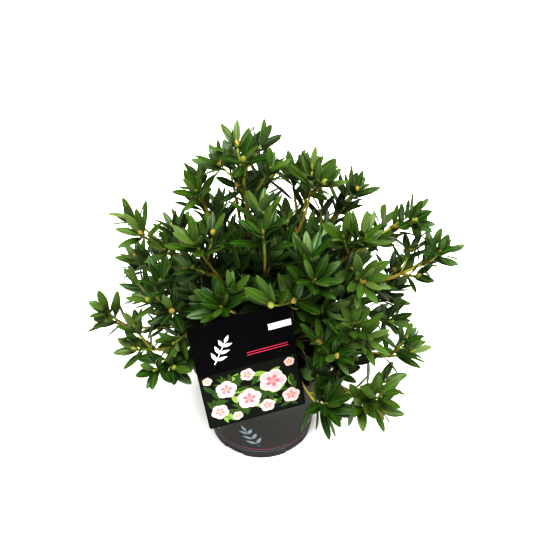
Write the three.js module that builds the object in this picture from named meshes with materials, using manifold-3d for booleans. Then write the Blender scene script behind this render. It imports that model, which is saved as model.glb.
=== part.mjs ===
// A young rhododendron in its round nursery pot, with a large label card clipped to the rim.
// Millimetres, +Z up. The origin is the centre of the pot's flat underside, and -Y is the front.

import * as THREE from 'three';
import { mergeVertices } from 'three/addons/utils/BufferGeometryUtils.js';
import Module from 'manifold-3d';

const wasm = await Module();
wasm.setup();

// Driving dimensions

const clearance = 0.3; // between pieces that meet
const weld = 1e-3; // corners closer than this are one
const sliver = 0.05; // faces and edges finer than this are merged away after a join
const goldenAngle = THREE.MathUtils.degToRad(137.5); // from one leaf or shoot to the next round its stem

const pot = {
  height: 133,
  rimRadius: 85,
  baseRadius: 63,
  wall: 1.8,
  floor: 4,
  lipHeight: 15,
  lipStep: 4,
  lipWall: 3.4,
  chamfer: 1, // of its edges
  shoulder: 2, // half height of the slope inside, from the wall to the lip
  sides: 40,
  notches: 5, // drainage notches that leave five feet round the base
  notchAngle: 24,
  notchHeight: 5,
  notchDepth: 9,
  frontFoot: -86, // bearing of the middle of the front foot
};

const soil = {
  belowRim: 12,
  crown: 2, // how far its middle stands above its edge
  flatRadius: 30,
};

const card = {
  width: 116,
  height: 149,
  thickness: 0.8,
  cornerRadius: 3,
  centre: new THREE.Vector3(-14.5, -84.5, 183),
  turn: 13, // about the vertical
  leanBack: 8,
  roll: 7, // in its own plane
  clipWidth: 14,
  clipThickness: 1.6,
  clipDrop: 10, // how far the clip reaches down inside the rim
  margin: 2, // room that shoots leave beside it and round the pot
  gap: 3, // and in front of it and behind it
  sight: 0.95, // slope of the line of sight that leaves keep clear in front of it
  overhang: 14, // how far they may hang over its upper edge
};

const trunk = {
  height: 56,
  baseRadius: 8,
  tipRadius: 5.5,
  flare: 5, // extra radius of the root flare at the soil
  flareFade: 9, // how fast the flare dies out up the trunk
  lean: new THREE.Vector3(-4, 5, 0), // how far its tip stands off the pot's axis
  sides: 10,
  steps: 7,
};

const limb = {
  rootRadius: 3.3,
  sideRootRadius: 2.8, // of a bough that leaves another bough
  tipRadius: 2.1,
  share: 0.5, // part of a bough's reach where its foliage begins
  sag: 0.1, // how far a bough bows down, as a part of its length
  sides: 6,
  steps: 3,
};

const shoot = {
  rootRadius: 2,
  tipRadius: 1.25,
  lengths: [70, 60, 50, 40, 32], // of side shoots
  bearings: 11, // how many sides of the stem a side shoot is tried on
  sag: 0.26, // how far a level leading stem bows down before it turns up, as a part of its length
  uprightSag: 0.06, // and an upright one
  spread: 44, // degrees between a side shoot and its stem
  lift: 0.7, // how strongly a side shoot turns up to the light
  firstAt: 0.04, // where on the stem the side shoots begin and end
  lastAt: 0.66,
  room: 11, // least room round a side shoot's tip
  drop: 24, // how far below its bough's end a side shoot's tip may be
  uprightDrop: 80, // and how much further on an upright bough
  checks: 8, // points along a shoot that are tried against the card and the pot
  footChecks: 2, // the first of them, which lie in its bough's own foot
  sides: 3,
};

const leaf = {
  length: 37,
  width: 15,
  shoulders: [0.4, 0.72], // where along it the corners of its edge are
  fullness: [0.95, 0.9], // and how much of the width it has there
  innerSize: 0.8, // of the rosette's innermost leaf
  outerSize: 1.04,
  variety: 0.1, // by how much the size varies
  arch: 0.7, // how far the edges stand above the foot
  droop: 2, // how far the tip hangs below the foot
  perRosette: 7,
  below: 1, // leaves on the shoot below its rosette
  spacing: 10, // between those
  lowest: 0.9, // how far down its shoot a leaf may stand
  innerTilt: 36, // degrees from the shoot's axis
  outerTilt: 70,
  sway: 14, // by how much the tilt varies
  lift: 0.3, // how far a leaf turns up from its place in the rosette
  rosetteDepth: 26, // length of shoot that the rosette's leaves stand on
  fewest: 3, // a side shoot with room for fewer leaves is left out
};

const bud = {
  radius: 3.8,
  slimRadius: 2,
  tipRadius: 0.6,
  length: 11,
  widestAt: 0.45,
  share: 0.65, // part of the shoots that end in a flower bud
};

const heart = new THREE.Vector3(0, 0, 168); // every bough's bearing and reach are taken from here

// Each bough: its name, what carries it, where along that, its bearing and rise in degrees,
// its reach from the heart to the tip of its foliage, and how many leafy shoots it ends in
const boughTable = [
  ['top', 'trunk', 1, 160, 84, 262, 6],
  ['far_right', 'trunk', 0.89, -3, 31, 255, 5],
  ['right_low', 'trunk', 0.42, -42, 27, 180, 5],
  ['front_right', 'trunk', 0.68, -61, 54, 204, 4],
  ['front_left_low', 'trunk', 0.54, -111, 48, 176, 3],
  ['left_front', 'trunk', 0.82, -150, 37, 182, 5],
  ['left_upper', 'trunk', 0.58, 172, 45, 217, 5],
  ['back_left', 'trunk', 0.84, 134, 13, 172, 4],
  ['back', 'trunk', 0.55, 88, 30, 198, 4],
  ['back_right', 'trunk', 0.74, 47, 37, 209, 5],
  ['right_top', 'top', 0.42, 20, 75, 230, 3],
  ['right_front', 'top', 0.2, -22, 56, 214, 4],
  ['front', 'top', 0.34, -88, 70, 220, 3],
  ['front_left', 'top', 0.14, -133, 62, 214, 4],
  ['left_top', 'top', 0.5, 168, 72, 226, 4],
  ['back_top_left', 'top', 0.28, 112, 60, 206, 4],
  ['back_top_right', 'top', 0.06, 56, 56, 198, 4],
  ['left', 'left_upper', 0.34, -177, 7, 192, 3],
  ['left_low', 'left_front', 0.36, -151, 14, 172, 4],
  ['low_right', 'far_right', 0.36, -18, 5, 189, 4],
  ['low_front_right', 'right_low', 0.42, -40, -7, 187, 4],
  ['front_low', 'right_low', 0.3, -54, -15, 141, 3],
  ['right_back_low', 'back_right', 0.36, 22, 3, 182, 4],
  ['back_low_right', 'back', 0.4, 62, 2, 178, 4],
  ['back_low', 'back_left', 0.36, 107, 2, 179, 4],
  ['back_low_left', 'left_upper', 0.44, 150, 8, 184, 4],
  ['right_upper', 'far_right', 0.4, 6, 42, 244, 4],
];

// Gaps in the crown that show sky: bearing, rise and half width in degrees, seen from the heart
const openings = [
  [156, 48, 18],
  [17, 50, 11],
];

// Small tools

const up = new THREE.Vector3(0, 0, 1);
const radians = THREE.MathUtils.degToRad;
const lerp = THREE.MathUtils.lerp;

// A repeatable value from 0 to 1 for each whole number
function chance(n) {
  const wave = Math.sin(n * 12.9898 + 4.1414) * 43758.5453;
  return wave - Math.floor(wave);
}

function direction(bearing, rise) {
  const flat = Math.cos(radians(rise));
  return new THREE.Vector3(
    flat * Math.cos(radians(bearing)),
    flat * Math.sin(radians(bearing)),
    Math.sin(radians(rise)),
  );
}

// A level direction square to a heading, or any one for a heading that is nearly upright
function sideways(heading) {
  const from = Math.abs(heading.z) < 0.95 ? up : new THREE.Vector3(1, 0, 0);
  return new THREE.Vector3().crossVectors(heading, from).normalize();
}

// A closed geometry as a manifold solid
function toSolid(geometry) {
  const bare = geometry.index ? geometry.clone() : mergeVertices(geometry);
  bare.deleteAttribute('normal');
  bare.deleteAttribute('uv');
  const merged = mergeVertices(bare, weld);
  const corners = merged.index.array;
  const kept = [];
  for (let i = 0; i < corners.length; i += 3) {
    const [a, b, c] = [corners[i], corners[i + 1], corners[i + 2]];
    if (a !== b && b !== c && c !== a) kept.push(a, b, c); // a lathe has flat triangles on its axis
  }
  return new wasm.Manifold(
    new wasm.Mesh({
      numProp: 3,
      vertProperties: merged.attributes.position.array,
      triVerts: new Uint32Array(kept),
    }),
  );
}

function toGeometry(solid) {
  const { vertProperties, triVerts } = solid.getMesh();
  const geometry = new THREE.BufferGeometry();
  geometry.setAttribute('position', new THREE.BufferAttribute(vertProperties, 3));
  geometry.setIndex(new THREE.BufferAttribute(triVerts, 1));
  geometry.computeVertexNormals();
  return geometry;
}

// The largest body of a solid, with its slivers merged away and no loose scraps or sealed hollows
function mainBody(solid) {
  const bodies = toSolid(toGeometry(solid.simplify(sliver))).decompose();
  return bodies.reduce((best, body) => (body.volume() > best.volume() ? body : best));
}

function touches(solid, obstacles) {
  return !solid.intersect(obstacles).isEmpty();
}

// A round limb along a curve, with flat ends, from rings that each have a place along it and a radius
function limbGeometry(curve, rings, sides) {
  const steps = rings.length - 1;
  const geometry = new THREE.CylinderGeometry(1, 1, 1, sides, steps);
  const position = geometry.attributes.position;
  const middle = curve.getTangentAt(0.5);
  const across = new THREE.Vector3().crossVectors(sideways(middle), middle);
  const moved = new THREE.Vector3();
  for (let i = 0; i < position.count; i++) {
    const [at, radius] = rings[Math.round((position.getY(i) + 0.5) * steps)];
    const along = curve.getTangentAt(at);
    const side = new THREE.Vector3().crossVectors(along, across).normalize();
    const front = new THREE.Vector3().crossVectors(side, along);
    moved
      .copy(curve.getPointAt(at))
      .addScaledVector(side, position.getX(i) * radius)
      .addScaledVector(front, position.getZ(i) * radius);
    position.setXYZ(i, moved.x, moved.y, moved.z);
  }
  return geometry;
}

// Evenly spaced rings, with a radius that follows the limb's length
function evenRings(steps, radiusAt) {
  return Array.from({ length: steps + 1 }, (_, i) => [i / steps, radiusAt(i / steps)]);
}

// The pot and the soil in it

const wallTop = pot.height - pot.lipHeight;
const wallTopRadius = pot.rimRadius - pot.lipStep;

function potWallRadius(z) {
  return lerp(pot.baseRadius, wallTopRadius, z / wallTop);
}

function potSolid() {
  const profile = [
    [0, 0],
    [pot.baseRadius - pot.chamfer, 0],
    [potWallRadius(2 * pot.chamfer), 2 * pot.chamfer],
    [wallTopRadius, wallTop],
    [pot.rimRadius - pot.chamfer, wallTop + pot.chamfer],
    [pot.rimRadius, pot.height - 1.5 * pot.chamfer],
    [pot.rimRadius - pot.chamfer, pot.height],
    [pot.rimRadius - pot.lipWall, pot.height],
    [wallTopRadius - pot.wall + pot.chamfer, wallTop + pot.shoulder],
    [wallTopRadius - pot.wall, wallTop - pot.shoulder],
    [potWallRadius(pot.floor) - pot.wall, pot.floor],
    [0, pot.floor],
  ];
  const points = profile.map(([r, z]) => new THREE.Vector2(r, z));
  const shell = new THREE.LatheGeometry(points, pot.sides).rotateX(Math.PI / 2);
  let solid = toSolid(shell);
  for (let i = 0; i < pot.notches; i++) {
    const bearing = pot.frontFoot + (360 / pot.notches) * (i + 0.5);
    const width = 2 * pot.baseRadius * Math.sin(radians(pot.notchAngle / 2));
    const notch = new THREE.BoxGeometry(2 * pot.notchDepth, width, 2 * pot.notchHeight)
      .translate(pot.baseRadius, 0, 0)
      .rotateZ(radians(bearing));
    solid = solid.subtract(toSolid(notch));
  }
  return solid;
}

const soilTop = pot.height - soil.belowRim + soil.crown;

function soilSolid() {
  const foot = pot.floor + clearance;
  const inset = pot.wall + clearance;
  const edge = soilTop - soil.crown;
  const profile = [
    [0, foot],
    [potWallRadius(foot) - inset, foot],
    [wallTopRadius - inset, wallTop - pot.shoulder],
    [wallTopRadius - inset, edge],
    [soil.flatRadius, soilTop],
    [0, soilTop],
  ];
  const points = profile.map(([r, z]) => new THREE.Vector2(r, z));
  return toSolid(new THREE.LatheGeometry(points, pot.sides).rotateX(Math.PI / 2));
}

// The label card, with a clip behind it that hooks over the rim

const cardPlace = new THREE.Matrix4()
  .makeTranslation(card.centre)
  .multiply(new THREE.Matrix4().makeRotationZ(radians(card.turn)))
  .multiply(new THREE.Matrix4().makeRotationX(-radians(card.leanBack)))
  .multiply(new THREE.Matrix4().makeRotationY(-radians(card.roll)))
  .multiply(new THREE.Matrix4().makeRotationX(Math.PI / 2));
const fromCard = cardPlace.clone().invert();

function cardSheet(extra = 0) {
  const [w, h, r] = [card.width / 2 + extra, card.height / 2 + extra, card.cornerRadius];
  const outline = new THREE.Shape()
    .moveTo(r - w, -h)
    .lineTo(w - r, -h)
    .quadraticCurveTo(w, -h, w, r - h)
    .lineTo(w, h - r)
    .quadraticCurveTo(w, h, w - r, h)
    .lineTo(r - w, h)
    .quadraticCurveTo(-w, h, -w, h - r)
    .lineTo(-w, r - h)
    .quadraticCurveTo(-w, -h, r - w, -h);
  const depth = card.thickness + 2 * extra;
  const sheet = new THREE.ExtrudeGeometry(outline, { depth, bevelEnabled: false, curveSegments: 3 });
  return sheet.translate(0, 0, -depth / 2).applyMatrix4(cardPlace);
}

// How far the card's middle plane stands from the pot's axis, at a height, straight behind its clip
function cardDistance(z) {
  const facing = direction(card.turn - 90, 0);
  const lean = Math.tan(radians(card.leanBack));
  return facing.dot(card.centre) - (z - card.centre.z) * lean;
}

function cardSolid() {
  const top = pot.height + clearance;
  const inner = wallTopRadius - pot.wall - clearance - card.clipThickness;
  const outer = cardDistance(top + card.clipThickness / 2);
  const bridge = new THREE.BoxGeometry(outer - inner, card.clipWidth, card.clipThickness)
    .translate((outer + inner) / 2, 0, top + card.clipThickness / 2)
    .rotateZ(radians(card.turn - 90));
  const drop = card.clipDrop + card.clipThickness;
  const tongue = new THREE.BoxGeometry(card.clipThickness, card.clipWidth, drop)
    .translate(inner + card.clipThickness / 2, 0, top + card.clipThickness - drop / 2)
    .rotateZ(radians(card.turn - 90));
  return toSolid(cardSheet()).add(toSolid(bridge)).add(toSolid(tongue));
}

// The trunk and the boughs

const trunkFoot = new THREE.Vector3(0, 0, soilTop + clearance);
const trunkTip = trunkFoot.clone().add(trunk.lean).addScaledVector(up, trunk.height);
const trunkCurve = new THREE.QuadraticBezierCurve3(
  trunkFoot,
  trunkFoot.clone().addScaledVector(up, trunk.height / 2),
  trunkTip,
);

function trunkRadius(t) {
  return lerp(trunk.baseRadius, trunk.tipRadius, t) + trunk.flare * Math.exp(-trunk.flareFade * t);
}

// Works out a bough's curve from its row and from what carries it
function planBough([name, carrier, at, bearing, rise, reach, shoots], index, plans) {
  const parent = plans.find((plan) => plan.name === carrier);
  const heading = direction(bearing, rise);
  const below = parent ? parent.curve : trunkCurve;
  const start = below.getPointAt(at);
  const tip = heart.clone().addScaledVector(heading, reach * limb.share);
  const length = start.distanceTo(tip);
  const middle = start.clone();
  if (at === 1) {
    // the leader carries on from the trunk's end, square to it
    start.addScaledVector(below.getTangentAt(1), clearance);
    middle.addScaledVector(below.getTangentAt(1), length / 2);
  } else {
    middle.lerp(tip, 0.5).addScaledVector(up, -length * limb.sag);
  }
  return {
    name,
    index,
    heading,
    reach,
    shoots,
    at,
    carrier,
    curve: new THREE.QuadraticBezierCurve3(start, middle, tip),
    rootRadius: parent && at < 1 ? limb.sideRootRadius : limb.rootRadius,
    end: heart.clone().addScaledVector(heading, reach),
  };
}

const boughs = [];
boughTable.forEach((row, index) => boughs.push(planBough(row, index, boughs)));

function trunkSolid(extra = 0) {
  const rings = evenRings(trunk.steps, (t) => trunkRadius(t) + extra);
  return toSolid(limbGeometry(trunkCurve, rings, trunk.sides));
}

function boughSolid(plan, extra = 0) {
  const rings = evenRings(limb.steps, (t) => lerp(plan.rootRadius, limb.tipRadius, t) + extra);
  return toSolid(limbGeometry(plan.curve, rings, limb.sides));
}

// Cuts a bough back from the limb that carries it, so that its foot sits snugly on that limb
function seatedBough(plan) {
  if (plan.at === 1) return boughSolid(plan);
  const parent = boughs.find((other) => other.name === plan.carrier);
  const grown = parent ? boughSolid(parent, clearance) : trunkSolid(clearance);
  return mainBody(boughSolid(plan).subtract(grown));
}

// The foliage

// How far a point lies inside a bough's own space, which is nearer to its heading than to any other
function depthInSpace(point, plan) {
  const from = point.clone().sub(heart);
  return boughs.reduce((least, other) => {
    if (other === plan) return least;
    const away = plan.heading.clone().sub(other.heading).normalize();
    return Math.min(least, from.dot(away));
  }, Infinity);
}

function inOpening(point) {
  const way = point.clone().sub(heart).normalize();
  return openings.some(([bearing, rise, half]) => way.angleTo(direction(bearing, rise)) < radians(half));
}

// True where a point in front of the card would hide it from above
function hidesCard(point) {
  const seen = point.clone().applyMatrix4(fromCard);
  if (seen.z < 0 || Math.abs(seen.x) > card.width / 2 + card.margin) return false;
  const level = seen.y - card.sight * seen.z; // where the line of sight through the point meets the card
  return level < card.height / 2 - card.overhang && level > -card.height / 2;
}

function atCard(point) {
  const seen = point.clone().applyMatrix4(fromCard);
  const beside = Math.abs(seen.x) > card.width / 2 + card.margin;
  return !beside && Math.abs(seen.y) < card.height / 2 + card.margin && Math.abs(seen.z) < card.gap;
}

function atPot(point) {
  const wall = point.z < wallTop - card.margin ? potWallRadius(point.z) : pot.rimRadius;
  const inside = Math.hypot(point.x, point.y) < wall + card.margin;
  return point.z < card.gap || (inside && point.z < pot.height + card.margin);
}

// True where a shoot, past its foot, would run into the card or the pot, or in front of the card
function barred(curve) {
  const points = curve.getPoints(shoot.checks).slice(shoot.footChecks);
  return points.some((point) => hidesCard(point) || atCard(point) || atPot(point));
}

// The stem that leads on from a bough's tip, bowed down a little before it turns up.
// Its slanted foot starts as far on as keeps all of it clear of the tip.
function leadingStem(plan) {
  const start = plan.curve.getPointAt(1);
  const along = plan.curve.getTangentAt(1);
  const length = start.distanceTo(plan.end);
  const sag = lerp(shoot.sag, shoot.uprightSag, Math.max(0, plan.heading.z));
  const middle = start.clone().addScaledVector(along, length / 2).addScaledVector(up, -length * sag);
  const slant = middle.clone().sub(start).angleTo(along);
  start.addScaledVector(along, clearance + shoot.rootRadius * Math.sin(slant));
  return new THREE.QuadraticBezierCurve3(start, middle, plan.end.clone());
}

// A side shoot that leaves the stem and turns up to the light, on the side and at the length
// that leave its tip the most room in the bough's space and among the other tips
function sideShoot(plan, stem, number, tips) {
  const at = lerp(shoot.firstAt, shoot.lastAt, (number - 1) / Math.max(1, plan.shoots - 2));
  const start = stem.getPointAt(at);
  const along = stem.getTangentAt(at);
  const spread = radians(shoot.spread);
  const lowest = plan.end.z - shoot.drop - shoot.uprightDrop * Math.max(0, plan.heading.z);
  let best = null;
  let most = shoot.room;
  for (let side = 0; side < shoot.bearings; side++) {
    const across = sideways(along).applyAxisAngle(along, (side + chance(plan.index)) * goldenAngle);
    const out = along.clone().multiplyScalar(Math.cos(spread)).addScaledVector(across, Math.sin(spread));
    const turned = out.clone().addScaledVector(up, shoot.lift).normalize();
    for (const length of shoot.lengths) {
      const middle = start.clone().addScaledVector(out, length / 2);
      const tip = middle.clone().addScaledVector(turned, length / 2);
      if (tip.distanceTo(heart) > plan.reach || tip.z < lowest || inOpening(tip)) continue;
      const apart = Math.min(...tips.map((other) => other.distanceTo(tip))) / 2;
      const room = Math.min(depthInSpace(tip, plan), apart);
      const curve = new THREE.QuadraticBezierCurve3(start, middle, tip);
      if (room > most && !barred(curve)) {
        most = room;
        best = curve;
      }
    }
  }
  return best;
}

// One leaf along +Y with its upper face to +Z: six points round its edge, and a ridge below it
function leafGeometry(size) {
  const long = leaf.length * size;
  const half = (leaf.width * size) / 2;
  const edge = (side, i) => [side * half * leaf.fullness[i], long * leaf.shoulders[i], leaf.arch * size];
  const points = [
    [0, 0, 0],
    edge(-1, 0),
    edge(-1, 1),
    [0, long, -leaf.droop * size],
    edge(1, 1),
    edge(1, 0),
  ];
  const upper = [0, 5, 1, 5, 4, 1, 4, 2, 1, 4, 3, 2];
  const lower = [0, 1, 3, 1, 2, 3, 0, 3, 5, 5, 3, 4];
  const geometry = new THREE.BufferGeometry();
  geometry.setAttribute('position', new THREE.Float32BufferAttribute(points.flat(), 3));
  geometry.setIndex([...upper, ...lower]);
  return geometry;
}

// How far back from the bud's foot each leaf of a shoot stands: close in the rosette, wider apart below it
function leafDistance(i) {
  const close = leaf.rosetteDepth / leaf.perRosette;
  const below = Math.max(0, i - leaf.perRosette + 1);
  return close * Math.min(i + 0.5, leaf.perRosette) + below * leaf.spacing;
}

// The leaves of a shoot, each as a placed geometry
function shootLeaves(curve, seed) {
  const length = curve.getLength();
  const count = leaf.perRosette + leaf.below;
  const places = Array.from({ length: count }, (_, i) => bud.length + leafDistance(i));
  const used = places.filter((back) => back < leaf.lowest * length);
  return used.map((back, i) => {
    const outward = Math.min(1, (i + 0.5) / leaf.perRosette);
    const at = 1 - back / length;
    const foot = curve.getPointAt(at);
    const axis = curve.getTangentAt(at);
    const across = sideways(axis);
    across.applyAxisAngle(axis, i * goldenAngle + chance(seed) * 2 * Math.PI);
    const sway = leaf.sway * (chance(seed + i + 1) - 0.5);
    const tilt = radians(lerp(leaf.innerTilt, leaf.outerTilt, outward) + sway);
    const along = axis.clone().multiplyScalar(Math.cos(tilt)).addScaledVector(across, Math.sin(tilt));
    along.addScaledVector(up, leaf.lift * Math.sin(tilt)).normalize();
    const face = axis.clone().multiplyScalar(Math.sin(tilt)).addScaledVector(across, -Math.cos(tilt));
    face.addScaledVector(along, -face.dot(along)).normalize();
    const side = new THREE.Vector3().crossVectors(along, face);
    const place = new THREE.Matrix4().makeBasis(side, along, face).setPosition(foot);
    const varied = lerp(1 - leaf.variety, 1 + leaf.variety, chance(seed + i + 20));
    const size = lerp(leaf.innerSize, leaf.outerSize, outward) * varied;
    return leafGeometry(size).applyMatrix4(place);
  });
}

// A shoot's twig, which ends in a bud: plump where it holds a flower, slim where it holds leaves
function twigGeometry(curve, seed) {
  const swell = chance(seed + 40) < bud.share ? bud.radius : bud.slimRadius;
  const neck = 1 - bud.length / curve.getLength();
  const rings = [
    [0, shoot.rootRadius],
    [neck / 2, (shoot.rootRadius + shoot.tipRadius) / 2],
    [neck, shoot.tipRadius],
    [lerp(neck, 1, bud.widestAt), swell],
    [1, bud.tipRadius],
  ];
  return limbGeometry(curve, rings, shoot.sides);
}

// True where a geometry's corners all lie in the bough's space and its solid is clear of every obstacle
function fits(geometry, plan, obstacles) {
  const corners = geometry.attributes.position;
  const point = new THREE.Vector3();
  for (let i = 0; i < corners.count; i++) {
    point.fromBufferAttribute(corners, i);
    if (depthInSpace(point, plan) < clearance || hidesCard(point)) return false;
  }
  return !touches(toSolid(geometry), obstacles);
}

// One mass of foliage: a stem, its side shoots, and a rosette of leaves round the bud on each
function foliageSolid(plan, obstacles) {
  const stem = leadingStem(plan);
  const curves = [stem];
  for (let number = 1; number < plan.shoots; number++) {
    const tips = curves.map((curve) => curve.getPointAt(1));
    const curve = sideShoot(plan, stem, number, tips);
    if (curve && fits(twigGeometry(curve, 0), plan, obstacles)) curves.push(curve);
  }
  const seeds = curves.map((_, number) => plan.index * 1000 + number * 50 + 5);
  const twigs = curves.map((curve, number) => toSolid(twigGeometry(curve, seeds[number])));
  const pieces = [];
  const leaves = [];
  curves.forEach((curve, number) => {
    const others = wasm.Manifold.union([obstacles, ...leaves, ...twigs.filter((_, i) => i !== number)]);
    const kept = shootLeaves(curve, seeds[number]).filter((geometry) => fits(geometry, plan, others));
    if (number > 0 && kept.length < leaf.fewest) return;
    leaves.push(...kept.map(toSolid));
    pieces.push(twigs[number]);
  });
  return mainBody(wasm.Manifold.union([...pieces, ...leaves]));
}

// The assembly

const finishes = {
  pot: { color: 0x42413f, roughness: 0.55 },
  soil: { color: 0x2b211a, roughness: 0.95 },
  card: { color: 0x0a090d, roughness: 0.35 },
  bark: { color: 0x7d6638, roughness: 0.8 },
  foliage: { color: 0x3f5f22, roughness: 0.45 },
};

const plant = new THREE.Group();

function addPiece(name, solid, finish) {
  const material = new THREE.MeshStandardMaterial({ ...finish, metalness: 0 });
  const mesh = new THREE.Mesh(toGeometry(solid), material);
  mesh.name = name;
  plant.add(mesh);
}

const potBody = potSolid();
const soilBody = soilSolid();
const cardBody = cardSolid();
addPiece('pot', potBody, finishes.pot);
addPiece('soil', soilBody, finishes.soil);
addPiece('label_card', cardBody, finishes.card);
addPiece('trunk', trunkSolid(), finishes.bark);

const limbsGrown = [trunkSolid(clearance), ...boughs.map((plan) => boughSolid(plan, clearance))];
const obstacles = wasm.Manifold.union([...limbsGrown, potBody, soilBody, toSolid(cardSheet(clearance))]);
for (const plan of boughs) addPiece(`bough_${plan.name}`, seatedBough(plan), finishes.bark);
for (const plan of boughs) {
  addPiece(`leaves_${plan.name}`, foliageSolid(plan, obstacles), finishes.foliage);
}

export default plant;
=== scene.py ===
# A young rhododendron in its nursery pot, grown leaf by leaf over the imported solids.
# Sizes are in millimetres until a mesh is made; the pot's underside is at z = 0 and -Y is the front.

from math import cos, exp, floor, hypot, inf, pi, radians, sin, sqrt, tan

import bmesh
import bpy
import numpy as np
from mathutils import Matrix, Vector, noise
from numpy.linalg import norm


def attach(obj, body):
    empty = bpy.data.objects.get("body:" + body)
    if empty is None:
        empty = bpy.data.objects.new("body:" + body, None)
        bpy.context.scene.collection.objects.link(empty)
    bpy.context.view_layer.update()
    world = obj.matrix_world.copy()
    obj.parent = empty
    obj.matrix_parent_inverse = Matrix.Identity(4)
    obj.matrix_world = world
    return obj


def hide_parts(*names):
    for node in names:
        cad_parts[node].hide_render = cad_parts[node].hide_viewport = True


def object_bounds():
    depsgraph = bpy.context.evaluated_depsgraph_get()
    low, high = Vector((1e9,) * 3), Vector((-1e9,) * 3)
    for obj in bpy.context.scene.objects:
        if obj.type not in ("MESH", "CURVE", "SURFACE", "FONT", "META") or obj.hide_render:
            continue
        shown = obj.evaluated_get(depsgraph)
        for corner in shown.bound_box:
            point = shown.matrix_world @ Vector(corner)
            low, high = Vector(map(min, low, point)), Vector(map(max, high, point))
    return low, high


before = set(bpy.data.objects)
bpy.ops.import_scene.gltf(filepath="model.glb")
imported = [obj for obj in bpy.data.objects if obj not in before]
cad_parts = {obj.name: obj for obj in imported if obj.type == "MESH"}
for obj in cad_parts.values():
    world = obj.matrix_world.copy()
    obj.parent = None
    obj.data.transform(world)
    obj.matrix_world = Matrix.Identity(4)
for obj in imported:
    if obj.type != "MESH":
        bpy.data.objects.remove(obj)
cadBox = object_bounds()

mm = 0.001
fullTurn = 2 * pi
goldenAngle = radians(137.5)
up = np.array([0.0, 0.0, 1.0])


# Camera, light and floor

studio = {
    "cameraPlace": (6.6, -970.2, 1077.6),
    "cameraTip": 49.92,  # degrees up from straight down
    "lens": 74.7,
    "sky": 0.1,
    # from where each soft light shines, degrees across it as seen from the plant, and its power
    "lights": {
        "keyLight": ((-180, -700, 1400), 30, 7.0),
        "sideLight": ((820, -380, 1350), 30, 3.8),
        "backLight": ((-120, 820, 1400), 40, 2.7),
    },
    "contrast": 0.62,  # gamma of the finished picture
    "floorSize": 90000,
    "paper": "#f4f4f2",
}


# An sRGB hex code as linear colour
def linearColour(code):
    parts = [int(code[i:i + 2], 16) / 255 for i in (1, 3, 5)]
    return tuple(p / 12.92 if p <= 0.04045 else ((p + 0.055) / 1.055) ** 2.4 for p in parts) + (1.0,)


# Adds one node: values go on its sockets, links come from a socket or a node's first output,
# and stops are a ramp's places and colours
def addNode(tree, kind, values, links, stops=()):
    node = tree.nodes.new("ShaderNode" + kind)
    for name, value in values.items():
        node.inputs[name].default_value = value
    for name, source in links.items():
        output = source.outputs[0] if isinstance(source, bpy.types.Node) else source
        tree.links.new(output, node.inputs[name])
    for i, (position, code) in enumerate(stops):
        node.color_ramp.elements[i].position = position
        node.color_ramp.elements[i].color = linearColour(code)
    return node


# Starts a material, and gives the object's own coordinates for its patterns
def newMaterial(name):
    material = bpy.data.materials.new(name)
    material.use_nodes = True
    tree = material.node_tree
    tree.nodes.clear()
    return material, tree, addNode(tree, "TexCoord", {}, {}).outputs["Object"]


# Texture scale whose features are about this many millimetres across
def perSize(size):
    return 1 / (size * mm)


def addObject(name, data):
    made = bpy.data.objects.new(name, data)
    bpy.context.collection.objects.link(made)
    return made


# A wide distant light, so that the floor is evenly lit to the horizon
def softLight(name, place, spread, power):
    light = bpy.data.lights.new(name, "SUN")
    light.angle = radians(spread)
    light.energy = power
    holder = addObject(name, light)
    holder.location = Vector(place) * mm
    holder.rotation_euler = (-Vector(place)).to_track_quat("-Z", "Y").to_euler()


# Matt paper sweep: flat white with a hint of tooth, drawn coarser than real so that it shows
def paperMaterial():
    material, tree, place = newMaterial("mattPaper")
    tooth = addNode(tree, "TexNoise", {"Scale": perSize(3)}, {"Vector": place})
    relief = addNode(tree, "Bump", {"Strength": 0.05}, {"Height": tooth})
    look = {"Base Color": linearColour(studio["paper"]), "Roughness": 0.9, "IOR": 1.45}
    shader = addNode(tree, "BsdfPrincipled", look, {"Normal": relief})
    addNode(tree, "OutputMaterial", {}, {"Surface": shader})
    return material


def makeStudio():
    camera = bpy.data.cameras.new("photoCamera")
    camera.lens = studio["lens"]
    camera.sensor_width = 36
    camera.clip_end = 100
    holder = addObject("photoCamera", camera)
    holder.location = Vector(studio["cameraPlace"]) * mm
    holder.rotation_euler = (radians(studio["cameraTip"]), 0, 0)
    bpy.context.scene.camera = holder

    for name, (place, spread, power) in studio["lights"].items():
        softLight(name, place, spread, power)
    world = bpy.data.worlds.new("studioAir")
    world.use_nodes = True
    world.node_tree.nodes["Background"].inputs["Color"].default_value = (1, 1, 1, 1)
    world.node_tree.nodes["Background"].inputs["Strength"].default_value = studio["sky"]
    bpy.context.scene.world = world
    bpy.context.scene.view_settings.view_transform = "Standard"
    bpy.context.scene.view_settings.gamma = studio["contrast"]

    half = studio["floorSize"] / 2 * mm
    corners = [(-half, -half, 0), (half, -half, 0), (half, half, 0), (-half, half, 0)]
    mesh = bpy.data.meshes.new("paperFloor")
    mesh.from_pydata(corners, [], [(0, 1, 2, 3)])
    mesh.materials.append(paperMaterial())
    addObject("paperFloor", mesh)
    print("studio: camera, three soft lights, paper floor")


makeStudio()


# Small tools for shapes

hashStep, hashStart, hashSpread = 12.9898, 4.1414, 43758.5453  # the same as in the solids' source


# A repeatable value from 0 to 1 for each whole number
def chance(n):
    wave = sin(n * hashStep + hashStart) * hashSpread
    return wave - floor(wave)


def mixed(a, b, t):
    return a + (b - a) * t


def unit(v):
    return v / norm(v)


def direction(bearing, rise):
    b, r = radians(bearing), radians(rise)
    return np.array([cos(r) * cos(b), cos(r) * sin(b), sin(r)])


nearlyUpright = 0.95


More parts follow.
